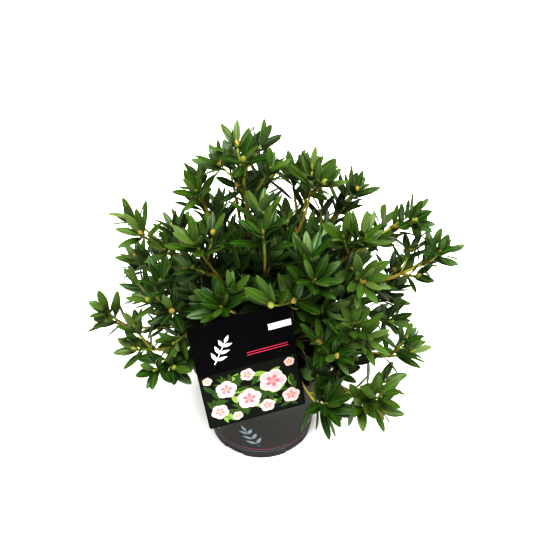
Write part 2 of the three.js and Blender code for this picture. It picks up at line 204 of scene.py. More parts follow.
# A level direction square to a heading, or another square one where the heading is nearly upright
def sideways(heading):
    return unit(np.cross(heading, up if abs(heading[2]) < nearlyUpright else np.array([1.0, 0.0, 0.0])))


def turnedAbout(v, axis, angle):
    c, s = cos(angle), sin(angle)
    return v * c + np.cross(axis, v) * s + axis * np.dot(axis, v) * (1 - c)


bendSteps = 80
nearby = 0.01  # part of a bend on each side of a place that gives its direction


# A bend through three points, measured along its length
class Bend:
    def __init__(self, start, middle, end):
        t = np.linspace(0, 1, bendSteps + 1)[:, None]
        self.dots = (1 - t) ** 2 * start + 2 * t * (1 - t) * middle + t * t * end
        steps = norm(np.diff(self.dots, axis=0), axis=1)
        self.run = np.concatenate([[0], np.cumsum(steps)])
        self.length = self.run[-1]
        self.tip = self.dots[-1]
        self.outer = self.dots[bendSteps // 4:]  # without the quarter that may lie close to its carrier

    def at(self, part):
        far = part * self.length
        return np.array([np.interp(far, self.run, self.dots[:, k]) for k in range(3)])

    def along(self, part):
        return unit(self.at(min(1, part + nearby)) - self.at(max(0, part - nearby)))


# Collects points, faces and the material of each face for one joined mesh
class Heap:
    def __init__(self):
        self.points, self.faces, self.picks, self.count = [], [], [], 0

    def add(self, points, faces, pick):
        base = self.count
        self.points.append(np.asarray(points, float))
        self.faces += [tuple(base + k for k in face) for face in faces]
        self.picks += pick if isinstance(pick, list) else [pick] * len(faces)
        self.count += len(points)

    def addFlat(self, points, pick):
        self.add(points, [tuple(range(len(points)))], pick)


def makePiece(name, heap, materials, replaced=(), smooth=True):
    mesh = bpy.data.meshes.new(name)
    mesh.from_pydata((np.concatenate(heap.points) * mm).tolist(), [], heap.faces)
    for material in materials:
        mesh.materials.append(material)
    mesh.polygons.foreach_set("material_index", heap.picks)
    mesh.polygons.foreach_set("use_smooth", [smooth] * len(heap.faces))
    mesh.update()
    piece = addObject(name, mesh)
    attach(piece, "root")
    if replaced:
        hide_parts(*replaced)


# The flat point at this angle and radius
def polar(angle, radius=1):
    return radius * cos(angle), radius * sin(angle)


# Points round the upright axis
def ringPoints(radius, z, count):
    return [(*polar(fullTurn * k / count, radius), z) for k in range(count)]


# Faces of a grid of rows by columns, closed round or open
def gridFaces(rows, columns, closed=False):
    faces = []
    for low in range(0, (rows - 1) * columns, columns):
        high = low + columns
        for c in range(columns if closed else columns - 1):
            after = (c + 1) % columns
            faces.append((low + c, low + after, high + after, high + c))
    return faces


# Faces of a body of rings, with a flat cap at each end
def bodyFaces(rings, sides):
    last = (rings - 1) * sides
    caps = [tuple(range(sides - 1, -1, -1)), tuple(last + k for k in range(sides))]
    return gridFaces(rings, sides, closed=True) + caps


# A round limb along a bend: rings are (place along it, radius),
# and relief(angle, distance along it, radius) adds to the radius
def limbShape(bend, rings, sides, relief):
    mid = bend.along(0.5)
    across = np.cross(sideways(mid), mid)
    points = []
    for at, radius in rings:
        along = bend.along(at)
        side = unit(np.cross(along, across))
        front = np.cross(side, along)
        centre = bend.at(at)
        for k in range(sides):
            angle = fullTurn * k / sides
            r = radius + relief(angle, at * bend.length, radius)
            points.append(centre + (side * cos(angle) + front * sin(angle)) * r)
    return points, bodyFaces(len(rings), sides)


# The pot

pot = {
    "height": 133,
    "rimRadius": 85,
    "baseRadius": 63,
    "wall": 1.8,
    "floor": 4,
    "lipHeight": 15,
    "lipStep": 4,
    "lipWall": 3.4,
    "segments": 180,
    "notches": 5,  # drainage notches that leave five feet
    "notchAngle": 24,
    "notchHeight": 5,
    "notchDepth": 9,
    "notchRound": 1.2,
    "frontFoot": -86,
    "greys": ("#232220", "#2b2924"),  # clean and dusty
}
wallTop = pot["height"] - pot["lipHeight"]
wallTopRadius = pot["rimRadius"] - pot["lipStep"]


def potWallRadius(z):
    return mixed(pot["baseRadius"], wallTopRadius, z / wallTop)


# Moulded polypropylene, dark grey: satin, with faint rub marks and dust,
# and a fine spark-eroded grain that is drawn coarser than real so that it shows
def potMaterial():
    material, tree, place = newMaterial("mouldedPolypropylene")
    dust = addNode(tree, "TexNoise", {"Scale": perSize(38), "Detail": 5}, {"Vector": place})
    shade = addNode(tree, "ValToRGB", {}, {"Fac": dust}, zip((0.3, 0.75), pot["greys"]))
    grain = addNode(tree, "TexNoise", {"Scale": perSize(1.2), "Detail": 2}, {"Vector": place})
    relief = addNode(tree, "Bump", {"Strength": 0.25, "Distance": 0.1 * mm}, {"Height": grain})
    gloss = addNode(tree, "MapRange", {"To Min": 0.42, "To Max": 0.6}, {"Value": dust})
    look = {"IOR": 1.49, "Specular IOR Level": 0.3}
    links = {"Base Color": shade, "Roughness": gloss, "Normal": relief}
    shader = addNode(tree, "BsdfPrincipled", look, links)
    addNode(tree, "OutputMaterial", {}, {"Surface": shader})
    return material


# The pot's section, as radius and height, from the middle of its underside round to that of its floor
def potProfile():
    h, rim, wall = pot["height"], pot["rimRadius"], pot["wall"]
    foot, bed, lipInside = pot["baseRadius"], pot["floor"], rim - pot["lipWall"]
    return [
        (0, 0), (foot - 2, 0), (foot - 0.9, 0.4), (potWallRadius(2), 2),  # underside and rounded foot
        (potWallRadius(40), 40), (potWallRadius(80), 80),  # wall
        (wallTopRadius - 0.3, wallTop - 0.6), (wallTopRadius + 0.2, wallTop),  # step under the lip
        (rim - 1.6, wallTop + 0.3), (rim - 1, wallTop + 1), (rim - 0.5, h - 7), (rim, h - 2.2),  # lip
        (rim - 0.15, h - 1), (rim - 0.7, h - 0.25), (rim - 1.4, h),  # its rounded outer edge
        (lipInside + 0.7, h), (lipInside, h - 0.8),  # and its inner edge
        (wallTopRadius - wall + 1, wallTop + 2), (wallTopRadius - wall, wallTop - 2),  # inside
        (potWallRadius(bed) - wall, bed), (0, bed),
    ]


def objectFrom(name, shape):
    mesh = bpy.data.meshes.new(name)
    shape.to_mesh(mesh)
    shape.free()
    return addObject(name, mesh)


def turnedPot():
    shell = bmesh.new()
    count = pot["segments"]
    rings = []
    for radius, z in potProfile():
        spots = ringPoints(radius * mm, z * mm, count) if radius else [(0, 0, z * mm)]
        rings.append([shell.verts.new(spot) for spot in spots])
    for low, high in zip(rings, rings[1:]):
        for k in range(count):
            spots = ((low, k), (low, k + 1), (high, k + 1), (high, k))
            corners = [ring[i % len(ring)] for ring, i in spots]
            shell.faces.new([v for i, v in enumerate(corners) if v not in corners[:i]])
    bmesh.ops.recalc_face_normals(shell, faces=shell.faces)
    return objectFrom("nurseryPot", shell)


# Rounded blocks that cut the drainage notches
def footNotches():
    blocks = bmesh.new()
    width = 2 * pot["baseRadius"] * sin(radians(pot["notchAngle"] / 2))
    size = Matrix.Diagonal((2 * pot["notchDepth"] * mm, width * mm, 2 * pot["notchHeight"] * mm, 1))
    for i in range(pot["notches"]):
        bearing = radians(pot["frontFoot"] + 360 / pot["notches"] * (i + 0.5))
        spot = Matrix.Rotation(bearing, 4, "Z") @ Matrix.Translation((pot["baseRadius"] * mm, 0, 0)) @ size
        made = bmesh.ops.create_cube(blocks, size=1, matrix=spot)
        edges = {e for v in made["verts"] for e in v.link_edges}
        bmesh.ops.bevel(blocks, geom=list(edges), offset=pot["notchRound"] * mm, segments=3, affect="EDGES")
    return objectFrom("footNotches", blocks)


def makePot():
    body = turnedPot()
    cutter = footNotches()
    cut = body.modifiers.new("footNotches", "BOOLEAN")
    cut.operation, cut.object, cut.solver = "DIFFERENCE", cutter, "EXACT"
    finished = bpy.data.meshes.new_from_object(body.evaluated_get(bpy.context.evaluated_depsgraph_get()))
    body.modifiers.clear()
    body.data = finished
    bpy.data.objects.remove(cutter)
    finished.materials.clear()
    finished.materials.append(potMaterial())
    finished.polygons.foreach_set("use_smooth", [True] * len(finished.polygons))
    finished.set_sharp_from_angle(angle=radians(38))
    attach(body, "root")
    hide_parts("pot")
    print("pot:", len(finished.polygons), "faces")


# The print on the pot

# A sprig, in parts of its size: a stem with pairs of leaves and one leaf at its tip
sprig = {
    "stemLength": 0.8,
    "stemHalf": 0.018,
    "pairs": 3,
    "pairsAt": (0.14, 0.66),
    "spread": 0.85,  # radians from the stem to a leaf
    "leafLengths": (0.36, 0.28),
    "tipLength": 0.3,
    "leafWidth": 0.12,
}

potPrint = {
    "sprigs": 6,
    "firstBearing": -92,
    "footHeight": 28,
    "sprigSize": 42,
    "lean": 0.5,
    "lines": [(19, 1.7, 1), (14.5, 0.8, 0)],  # height, width and ink
    "lift": 0.12,
    "inks": {"paleScreenInk": "#7d888f", "roseScreenInk": "#8a5067"},
}

outlineSteps = 10


# Screen-printing ink on plastic: flat, slightly raised and satin, with a speckle coarser than real
def inkMaterial(name, code):
    material, tree, place = newMaterial(name)
    speckle = addNode(tree, "TexNoise", {"Scale": perSize(0.9), "Detail": 3}, {"Vector": place})
    gloss = addNode(tree, "MapRange", {"To Min": 0.39, "To Max": 0.51}, {"Value": speckle})
    look = {"Base Color": linearColour(code), "IOR": 1.5, "Specular IOR Level": 0.1}
    shader = addNode(tree, "BsdfPrincipled", look, {"Roughness": gloss})
    addNode(tree, "OutputMaterial", {}, {"Surface": shader})
    return material


# A flat outline from a foot along a heading: lens-shaped for a leaf, fuller towards the tip for a petal
def lensOutline(foot, heading, length, width, fullest=0.85, bluntness=1):
    side = (-heading[1], heading[0])
    edges = []
    for sign in (-1, 1):
        edge = []
        for i in range(outlineSteps + 1):
            t = i / outlineSteps
            half = width / 2 * max(0, sin(pi * t ** fullest)) ** bluntness
            edge.append([foot[k] + heading[k] * length * t + sign * side[k] * half for k in (0, 1)])
        edges.append(edge)
    return edges[0] + edges[1][-2:0:-1]


def sprigOutlines(foot, lean, size):
    heading = (sin(lean), cos(lean))
    side = (-heading[1], heading[0])
    width, half = size * sprig["leafWidth"], size * sprig["stemHalf"]
    tip = [foot[n] + heading[n] * size * sprig["stemLength"] for n in (0, 1)]
    corners = ((foot, -half), (tip, -half), (tip, half), (foot, half))
    outlines = [[(spot[0] + side[0] * out, spot[1] + side[1] * out) for spot, out in corners]]
    for k in range(sprig["pairs"]):
        reach = size * mixed(*sprig["pairsAt"], k / (sprig["pairs"] - 1))
        base = [foot[n] + heading[n] * reach for n in (0, 1)]
        length = size * mixed(*sprig["leafLengths"], k / sprig["pairs"])
        for turn in (-sprig["spread"], sprig["spread"]):
            way = (sin(lean + turn), cos(lean + turn))
            outlines.append(lensOutline(base, way, length, width))
    outlines.append(lensOutline(tip, heading, size * sprig["tipLength"], width))
    return outlines


# Lays a flat outline round the pot's tapered wall
def onWall(outline, bearing):
    spots = []
    for x, z in outline:
        radius = potWallRadius(z) + potPrint["lift"]
        spots.append((*polar(radians(bearing) + x / radius, radius), z))
    return spots


# Sprigs round the pot and two lines under them
def makePotPrint():
    heap = Heap()
    for i in range(potPrint["sprigs"]):
        bearing = potPrint["firstBearing"] + 360 / potPrint["sprigs"] * i
        lean = potPrint["lean"] if i % 2 else -potPrint["lean"]
        for outline in sprigOutlines((0, potPrint["footHeight"]), lean, potPrint["sprigSize"]):
            heap.addFlat(onWall(outline, bearing), 0)
    count = pot["segments"]
    for low, width, ink in potPrint["lines"]:
        ring = []
        for z in (low, low + width):
            ring += ringPoints(potWallRadius(z) + potPrint["lift"], z, count)
        heap.add(ring, gridFaces(2, count, closed=True), ink)
    inks = [inkMaterial(name, code) for name, code in potPrint["inks"].items()]
    makePiece("potPrint", heap, inks, smooth=False)
    print("pot print:", len(heap.faces), "faces")


makePot()
makePotPrint()


# The compost

soil = {
    "belowRim": 12,
    "crown": 2,
    "flatRadius": 30,
    "radius": 78.9,
    "foot": 4.3,
    "clearance": 0.3,
    "shoulder": 2,  # how far below the lip its straight side begins
    "sunk": 0.6,
    "lump": 1.5,  # how far the surface rises and falls
    "lumps": [(9, 1, 3), (3.5, 0.5, 8)],  # size across, strength and place in the noise
    "crumbs": 420,
    "crumbSize": (1.2, 4.2),
    "crumbMargin": 5,
    "crumbWobble": (0.7, 0.6),  # least part of its radius, and what chance adds
    "crumbFlatness": 0.6,
    "crumbRise": 0.12,  # part of its size that a crumb's middle stands above the surface
    "chipEvery": 7,  # one crumb in so many is a chip of bark
    "crumbSeeds": (9000, 9500, 10000, 10500),  # for distance, bearing, size and flatness
    "wobbleStep": 60,  # from one crumb's seeds to the next one's
    "finishes": {
        "peatCompost": ("#150f0b", "#2d2118"),
        "peatCrumbs": ("#1d1510", "#3a2a1d"),
        "barkChips": ("#3a2718", "#5d4129"),
    },
}
soilTop = pot["height"] - soil["belowRim"] + soil["crown"]


# Peat compost, moist: almost black-brown, dull, with crumbs and paler fibres
def soilMaterial(name, dark, pale):
    material, tree, place = newMaterial(name)
    crumb = addNode(tree, "TexNoise", {"Scale": perSize(4), "Detail": 6}, {"Vector": place})
    shade = addNode(tree, "ValToRGB", {}, {"Fac": crumb}, [(0.35, dark), (0.7, pale)])
    relief = addNode(tree, "Bump", {"Strength": 0.8, "Distance": 0.8 * mm}, {"Height": crumb})
    look = {"Roughness": 0.92, "IOR": 1.4}
    shader = addNode(tree, "BsdfPrincipled", look, {"Base Color": shade, "Normal": relief})
    addNode(tree, "OutputMaterial", {}, {"Surface": shader})
    return material


def soilHeight(x, y):
    r = hypot(x, y)
    slope = soil["crown"] * max(0, (r - soil["flatRadius"]) / (soil["radius"] - soil["flatRadius"]))
    rough = sum(k * noise.noise(Vector((x / size, y / size, plane))) for size, k, plane in soil["lumps"])
    return soilTop - slope + soil["lump"] * rough - soil["sunk"]


def addCrumbs(heap):
    ball = bmesh.new()
    bmesh.ops.create_icosphere(ball, subdivisions=1, radius=1)
    shape = np.array([v.co[:] for v in ball.verts])
    faces = [tuple(v.index for v in f.verts) for f in ball.faces]
    ball.free()
    least, more = soil["crumbWobble"]
    for i in range(soil["crumbs"]):
        far, turn, large, thick = (chance(seed + i) for seed in soil["crumbSeeds"])
        x, y = polar(fullTurn * turn, (soil["radius"] - soil["crumbMargin"]) * sqrt(far))
        size = mixed(*soil["crumbSize"], large ** 2)
        wobble = [[least + more * chance(i * soil["wobbleStep"] + k)] for k in range(len(shape))]
        flat = (1, mixed(soil["crumbFlatness"], 1, thick), soil["crumbFlatness"])
        middle = (x, y, soilHeight(x, y) + size * soil["crumbRise"])
        points = shape * np.array(wobble) * np.array(flat) * size / 2 + middle
        heap.add(points, faces, 1 + (i % soil["chipEvery"] == 0))


def makeSoil():
    heap = Heap()
    rows, columns, eye = 27, 96, 0.2  # the eye is the small ring in the middle of the top and underside
    points = []
    for r in range(rows):
        radius = max(eye, soil["radius"] * r / (rows - 1))
        points += [(x, y, soilHeight(x, y)) for x, y, _ in ringPoints(radius, 0, columns)]
    foot = soil["foot"]
    footRadius = potWallRadius(foot) - pot["wall"] - soil["clearance"]
    lower = [(wallTop - soil["shoulder"], soil["radius"]), (foot, footRadius), (foot, eye)]
    for z, radius in lower:
        points += ringPoints(radius, z, columns)
    heap.add(points, bodyFaces(rows + len(lower), columns), 0)
    addCrumbs(heap)
    finishes = [soilMaterial(name, *shades) for name, shades in soil["finishes"].items()]
    makePiece("compost", heap, finishes, ["soil"])
    print("compost:", len(heap.faces), "faces")


makeSoil()


# The label card

card = {
    "width": 116,
    "height": 149,
    "thickness": 0.8,
    "cornerRadius": 3,
    "edgeRound": 0.2,
    "centre": np.array([-14.5, -84.5, 183.0]),
    "turn": 13,
    "leanBack": 8,
    "roll": 7,
    "clipWidth": 14,
    "clipThickness": 1.6,
    "clipDrop": 10,
    "clearance": 0.3,
    "margin": 2,  # room that shoots leave beside it and round the pot
    "gap": 3,  # and in front of it and behind it
    "sight": 0.95,  # slope of the line of sight that leaves keep clear in front of it
    "overhang": 14,  # how far they may hang over its upper edge
    "black": "#08070b",
}

# What is printed on it, from its middle
cardPrint = {
    "pictureTop": 2.5,
    "border": 1.4,
    "lift": 0.05,
    "layer": 0.03,  # height of one layer of ink
    "whiteBox": (31, 43.2, 57.8, 52),  # left, low, right, high
    "lines": [(2, 20, 50, 21.3), (2, 16.6, 50, 17.9)],
    "sprigFoot": (-36, 16),
    "sprigLean": 0.55,
    "sprigSize": 38,
    "inks": {
        "shadeInk": "#161b12",
        "whiteInk": "#f2f1ec",
        "leafInk": "#3c5428",
        "paleLeafInk": "#7b9350",
        "blushInk": "#cfb3ad",
        "petalInk": "#c99d9d",
        "throatInk": "#b8707f",
        "roseInk": "#bf4560",
        "stamenInk": "#b9ab74",
    },
}

# Open five-petalled blossoms among leaves, on a shaded ground
picture = {
    "leaves": 110,
    "leafLengths": (11, 21),
    "leafWidth": 0.36,  # part of the length
    "leafArea": (0.06, 0.94),  # part of the picture that the leaves' feet keep to
    "leafMargin": 1,
    "leafSeeds": (700, 760, 820, 880),  # across, up, length and bearing
    "paleEvery": 4,  # one leaf in so many is pale
    # each blossom's place across and up the picture, and its radius
    "blossoms": [
        (0.72, 0.6, 17), (0.45, 0.38, 15), (0.88, 0.24, 11), (0.24, 0.66, 13), (0.13, 0.27, 11),
        (0.62, 0.16, 9.5), (0.48, 0.84, 9), (0.92, 0.88, 6.5), (0.07, 0.9, 6), (0.3, 0.11, 6.5),
    ],
    "petals": 5,
    "petalSeed": 600,
    # ink, length and width of each part of a petal
    "petalZones": [("blushInk", 1, 0.95), ("petalInk", 0.86, 0.66), ("throatInk", 0.52, 0.3)],
    "petalForm": (1.5, 0.7),  # where it is fullest, and how blunt
    "stamens": 9,
    "stamenReach": 0.24,
    "stamenSize": 0.7,
    "stamenCorners": (0, 1.26, 2.51, 3.77, 5.03),  # radians round a dot
    # first layer of each kind and the steps from one to the next
    "leafLayers": (1, 0.2, 10),  # starts again after ten
    "petalLayers": (3.5, 0.4, 0.1),
    "stamenLayers": (5.6, 0.05),
}

cardAxes = np.array((
    Matrix.Rotation(radians(card["turn"]), 3, "Z")
    @ Matrix.Rotation(radians(-card["leanBack"]), 3, "X")
    @ Matrix.Rotation(radians(-card["roll"]), 3, "Y")
    @ Matrix.Rotation(radians(90), 3, "X")
))


def onCard(points):
    return np.asarray(points, float) @ cardAxes.T + card["centre"]


# Printed polypropylene sheet, black flood coat: satin, with a faint orange peel and rubbed paler specks
def cardMaterial():
    material, tree, place = newMaterial("printedPolypropyleneSheet")
    peel = addNode(tree, "TexNoise", {"Scale": perSize(2.5), "Detail": 2}, {"Vector": place})
    relief = addNode(tree, "Bump", {"Strength": 0.12, "Distance": 0.1 * mm}, {"Height": peel})
    rub = addNode(tree, "TexNoise", {"Scale": perSize(26), "Detail": 4}, {"Vector": place})
    gloss = addNode(tree, "MapRange", {"To Min": 0.3, "To Max": 0.45}, {"Value": rub})
    look = {"Base Color": linearColour(card["black"]), "IOR": 1.49, "Specular IOR Level": 0.05}
    shader = addNode(tree, "BsdfPrincipled", look, {"Roughness": gloss, "Normal": relief})
    addNode(tree, "OutputMaterial", {}, {"Surface": shader})
    return material


def roundedOutline(halfWide, halfHigh, radius, count=6):
    outline = []
    for cx, cy, first in ((1, -1, -90), (1, 1, 0), (-1, 1, 90), (-1, -1, 180)):
        for k in range(count + 1):
            x, y = polar(radians(first + 90 * k / count), radius)
            outline.append((cx * (halfWide - radius) + x, cy * (halfHigh - radius) + y))
    return outline


def boxOutline(left, low, right, high):
    return [(left, low), (right, low), (right, high), (left, high)]


def makeCard():
    heap = Heap()
    half, edge, corner = card["thickness"] / 2, card["edgeRound"], card["cornerRadius"]
    halfWide, halfHigh = card["width"] / 2, card["height"] / 2
    outline = roundedOutline(halfWide, halfHigh, corner)
    inner = roundedOutline(halfWide - edge, halfHigh - edge, corner - edge)
    rings = [(inner, -half), (outline, -half + edge), (outline, half - edge), (inner, half)]
    points = [(x, y, z) for ring, z in rings for x, y in ring]
    heap.add(onCard(points), bodyFaces(len(rings), len(outline)), 0)
    addClip(heap)

    inkNames = list(cardPrint["inks"])
    level = half + cardPrint["lift"]

    def lay(outline, ink, layer):
        height = level + layer * cardPrint["layer"]
        heap.addFlat(onCard([(x, y, height) for x, y in outline]), 1 + inkNames.index(ink))

    border = cardPrint["border"]
    area = (-halfWide + border, -halfHigh + border, halfWide - border, cardPrint["pictureTop"])
    lay(boxOutline(*area), "shadeInk", 0)
    addPictureLeaves(lay, *area)
    addBlossoms(lay, *area)
    lay(boxOutline(*cardPrint["whiteBox"]), "whiteInk", 1)
    for outline in sprigOutlines(cardPrint["sprigFoot"], cardPrint["sprigLean"], cardPrint["sprigSize"]):
        lay(outline, "whiteInk", 1)
    for line in cardPrint["lines"]:
        lay(boxOutline(*line), "roseInk", 1)
    finishes = [cardMaterial()] + [inkMaterial(name, code) for name, code in cardPrint["inks"].items()]
    makePiece("labelCard", heap, finishes, ["label_card"], smooth=False)
    print("card:", len(heap.faces), "faces")


def addPictureLeaves(lay, left, low, right, high):
    margin, (first, step, cycle) = picture["leafMargin"], picture["leafLayers"]
    for i in range(picture["leaves"]):
        across, rise, long, turn = (chance(seed + i) for seed in picture["leafSeeds"])
        x = left + (right - left) * mixed(*picture["leafArea"], across)
        y = low + (high - low) * mixed(*picture["leafArea"], rise)
        length = mixed(*picture["leafLengths"], long)
        way = polar(fullTurn * turn)
        tip = (x + way[0] * length, y + way[1] * length)
        if left + margin < tip[0] < right - margin and low + margin < tip[1] < high - margin:
            ink = "leafInk" if i % picture["paleEvery"] else "paleLeafInk"
            outline = lensOutline((x, y), way, length, length * picture["leafWidth"])
            lay(outline, ink, first + (i % cycle) * step)


def addBlossoms(lay, left, low, right, high):
    (first, petalStep, zoneStep), (stamenFirst, stamenStep) = picture["petalLayers"], picture["stamenLayers"]
    for i, (across, rise, radius) in enumerate(picture["blossoms"]):
        x, y = left + (right - left) * across, low + (high - low) * rise
        for petal in range(picture["petals"]):
            way = polar(fullTurn * (petal / picture["petals"] + chance(picture["petalSeed"] + i)))
            for k, (ink, long, broad) in enumerate(picture["petalZones"]):
                outline = lensOutline((x, y), way, radius * long, radius * broad, *picture["petalForm"])
                lay(outline, ink, first + petal * petalStep + k * zoneStep)
        for k in range(picture["stamens"]):
            reach = radius * picture["stamenReach"] * sqrt(k / picture["stamens"])
            out, along = polar(k * goldenAngle, reach)
            corners = [polar(t, picture["stamenSize"]) for t in picture["stamenCorners"]]
            lay([(x + out + u, y + along + v) for u, v in corners], "stamenInk", stamenFirst + k * stamenStep)


# A bent strip behind the card that hooks over the pot's rim
def addClip(heap):
    t, gap, half = card["clipThickness"], card["clearance"], card["clipWidth"] / 2
    facing = direction(card["turn"] - 90, 0)
    side = np.cross(facing, up)
    top = pot["height"] + gap
    inner = wallTopRadius - pot["wall"] - gap - t
    lean = tan(radians(card["leanBack"]))
    outer = facing @ card["centre"] - (top + t / 2 - card["centre"][2]) * lean
    drop = top - card["clipDrop"]
    outline = [
        (inner + t, drop + 0.6), (inner + t, top - 0.2), (inner + t + 0.2, top), (outer, top),  # underside
        (outer, top + t), (inner + 1.2, top + t), (inner + 0.35, top + t - 0.35),  # upper side
        (inner, top + t - 1.2), (inner, drop + 0.6), (inner + 0.5, drop), (inner + t - 0.5, drop),  # free end
    ]
    points = [facing * d + side * s + up * z for s in (-half, half) for d, z in outline]
    heap.add(points, bodyFaces(2, len(outline)), 0)


makeCard()


# The plant's frame of trunk and boughs, by the same rule and sizes as its solids

heart = np.array([0.0, 0.0, 168.0])  # every bough's bearing and reach are taken from here

trunk = {
    "height": 56,
    "radii": (8, 5.5),  # at the foot and at the fork
    "flare": 5,
    "flareFade": 9,
    "lean": np.array([-4.0, 5.0, 0.0]),
    "clearance": 0.3,
    "roots": 5,  # ridges that run out into the root flare
    "rootRidge": 1.4,
    "rootFade": 9,
    "rootTurn": 0.6,
    "rings": 30,
    "sides": 28,
}

limb = {
    "rootRadius": 3.3,
    "sideRootRadius": 2.8,
    "tipRadius": 2.1,
    "share": 0.5,  # part of a bough's reach where its foliage begins
    "sag": 0.1,
    "relief": 0.1,  # depth of the bark's relief, as a part of the radius
    "reliefLayers": [(2.2, 16, 1.3, 1), (4, 4, 0.6, 3)],  # ridges and flakes
    "reliefStep": 7.3,  # in the noise, from bough to bough
    "collar": 0.55,  # swelling where a bough leaves its carrier
    "collarFade": 6,
    "ringEvery": 2.6,
    "leastRings": 12,
    "sides": 12,
    "tints": ("#52472a", "#887b40"),
}

# name, carrier, place along it, bearing, rise, reach, leafy shoots
boughTable = [
    ("top", "trunk", 1, 160, 84, 262, 6),
    ("far_right", "trunk", 0.89, -3, 31, 255, 5),
    ("right_low", "trunk", 0.42, -42, 27, 180, 5),
    ("front_right", "trunk", 0.68, -61, 54, 204, 4),
    ("front_left_low", "trunk", 0.54, -111, 48, 176, 3),
    ("left_front", "trunk", 0.82, -150, 37, 182, 5),
    ("left_upper", "trunk", 0.58, 172, 45, 217, 5),
    ("back_left", "trunk", 0.84, 134, 13, 172, 4),
    ("back", "trunk", 0.55, 88, 30, 198, 4),
    ("back_right", "trunk", 0.74, 47, 37, 209, 5),
    ("right_top", "top", 0.42, 20, 75, 230, 3),
    ("right_front", "top", 0.2, -22, 56, 214, 4),
    ("front", "top", 0.34, -88, 70, 220, 3),
    ("front_left", "top", 0.14, -133, 62, 214, 4),
    ("left_top", "top", 0.5, 168, 72, 226, 4),
    ("back_top_left", "top", 0.28, 112, 60, 206, 4),
    ("back_top_right", "top", 0.06, 56, 56, 198, 4),
    ("left", "left_upper", 0.34, -177, 7, 192, 3),
    ("left_low", "left_front", 0.36, -151, 14, 172, 4),
    ("low_right", "far_right", 0.36, -18, 5, 189, 4),
    ("low_front_right", "right_low", 0.42, -40, -7, 187, 4),
    ("front_low", "right_low", 0.3, -54, -15, 141, 3),
    ("right_back_low", "back_right", 0.36, 22, 3, 182, 4),
    ("back_low_right", "back", 0.4, 62, 2, 178, 4),
    ("back_low", "back_left", 0.36, 107, 2, 179, 4),
    ("back_low_left", "left_upper", 0.44, 150, 8, 184, 4),
    ("right_upper", "far_right", 0.4, 6, 42, 244, 4),
]

trunkFoot = np.array([0.0, 0.0, soilTop + trunk["clearance"]])
trunkBend = Bend(
    trunkFoot, trunkFoot + up * trunk["height"] / 2, trunkFoot + trunk["lean"] + up * trunk["height"]
)


def planBoughs():
    plans = {}
    for index, (name, carrier, at, bearing, rise, reach, shoots) in enumerate(boughTable):
        below = plans[carrier]["bend"] if carrier in plans else trunkBend
        heading = direction(bearing, rise)
        start = below.at(at)
        tip = heart + heading * reach * limb["share"]
        length = norm(tip - start)
        middle = mixed(start, tip, 0.5) - up * length * limb["sag"]
        if at == 1:  # the leader carries on from the trunk's end
            middle = start + below.along(1) * length / 2
        plans[name] = {
            "name": name,
            "carrier": carrier,
            "index": index,
            "heading": heading,
            "reach": reach,
            "shoots": shoots,
            "bend": Bend(start, middle, tip),
            "end": heart + heading * reach,
            "rootRadius": limb["sideRootRadius"] if carrier in plans else limb["rootRadius"],
        }
    return list(plans.values())


boughs = planBoughs()


# Rhododendron bark: thin, tan to grey-brown, in lengthwise ridges and flakes, dull
def barkMaterial():
    material, tree, place = newMaterial("rhododendronBark")
    drawn = addNode(tree, "Mapping", {"Scale": (1, 1, 0.25)}, {"Vector": place})  # flakes run up the stem
    flake = addNode(tree, "TexNoise", {"Scale": perSize(3), "Detail": 6}, {"Vector": drawn})
    shade = addNode(tree, "ValToRGB", {}, {"Fac": flake}, zip((0.32, 0.68), limb["tints"]))
    relief = addNode(tree, "Bump", {"Strength": 0.7, "Distance": 0.4 * mm}, {"Height": flake})
    look = {"Roughness": 0.82, "IOR": 1.45}
    shader = addNode(tree, "BsdfPrincipled", look, {"Base Color": shade, "Normal": relief})
    addNode(tree, "OutputMaterial", {}, {"Surface": shader})
    return material


# Relief for limbShape from layers of noise: how close round the limb, length, strength, step of the seed
def noiseRelief(depth, layers, seed):
    def relief(angle, far, radius):
        height = 0
        for close, length, strength, step in layers:
            height += strength * noise.noise(Vector((*polar(angle, close), far / length + seed * step)))
        return radius * depth * height

    return relief


def trunkRadius(t):
    return mixed(*trunk["radii"], t) + trunk["flare"] * exp(-trunk["flareFade"] * t)


trunkBark = noiseRelief(limb["relief"], limb["reliefLayers"], 0)


# The trunk's bark, with ridges that run out into its roots
def trunkRelief(angle, far, radius):
    spread = exp(-far / trunk["rootFade"])
    ridge = spread * trunk["rootRidge"] * cos(trunk["roots"] * angle + trunk["rootTurn"])
    return trunkBark(angle, far, radius) + ridge


def makeLimbs():
    heap = Heap()
    places = [i / trunk["rings"] for i in range(trunk["rings"] + 1)]
    heap.add(*limbShape(trunkBend, [(t, trunkRadius(t)) for t in places], trunk["sides"], trunkRelief), 0)
    for plan in boughs:
        bend = plan["bend"]
        count = max(limb["leastRings"], int(bend.length / limb["ringEvery"]))
        rings = []
        for i in range(count + 1):
            t = i / count
            swell = 1 + limb["collar"] * exp(-t * bend.length / limb["collarFade"])
            rings.append((t, mixed(plan["rootRadius"], limb["tipRadius"], t) * swell))
        relief = noiseRelief(limb["relief"], limb["reliefLayers"], plan["index"] * limb["reliefStep"])
        heap.add(*limbShape(bend, rings, limb["sides"], relief), 0)
    names = ["trunk"] + ["bough_" + plan["name"] for plan in boughs]
    makePiece("barkedLimbs", heap, [barkMaterial()], names)
    print("trunk and boughs:", len(heap.faces), "faces")


makeLimbs()


# The leafy shoots: first those of the solids, then finer twigs that leave them

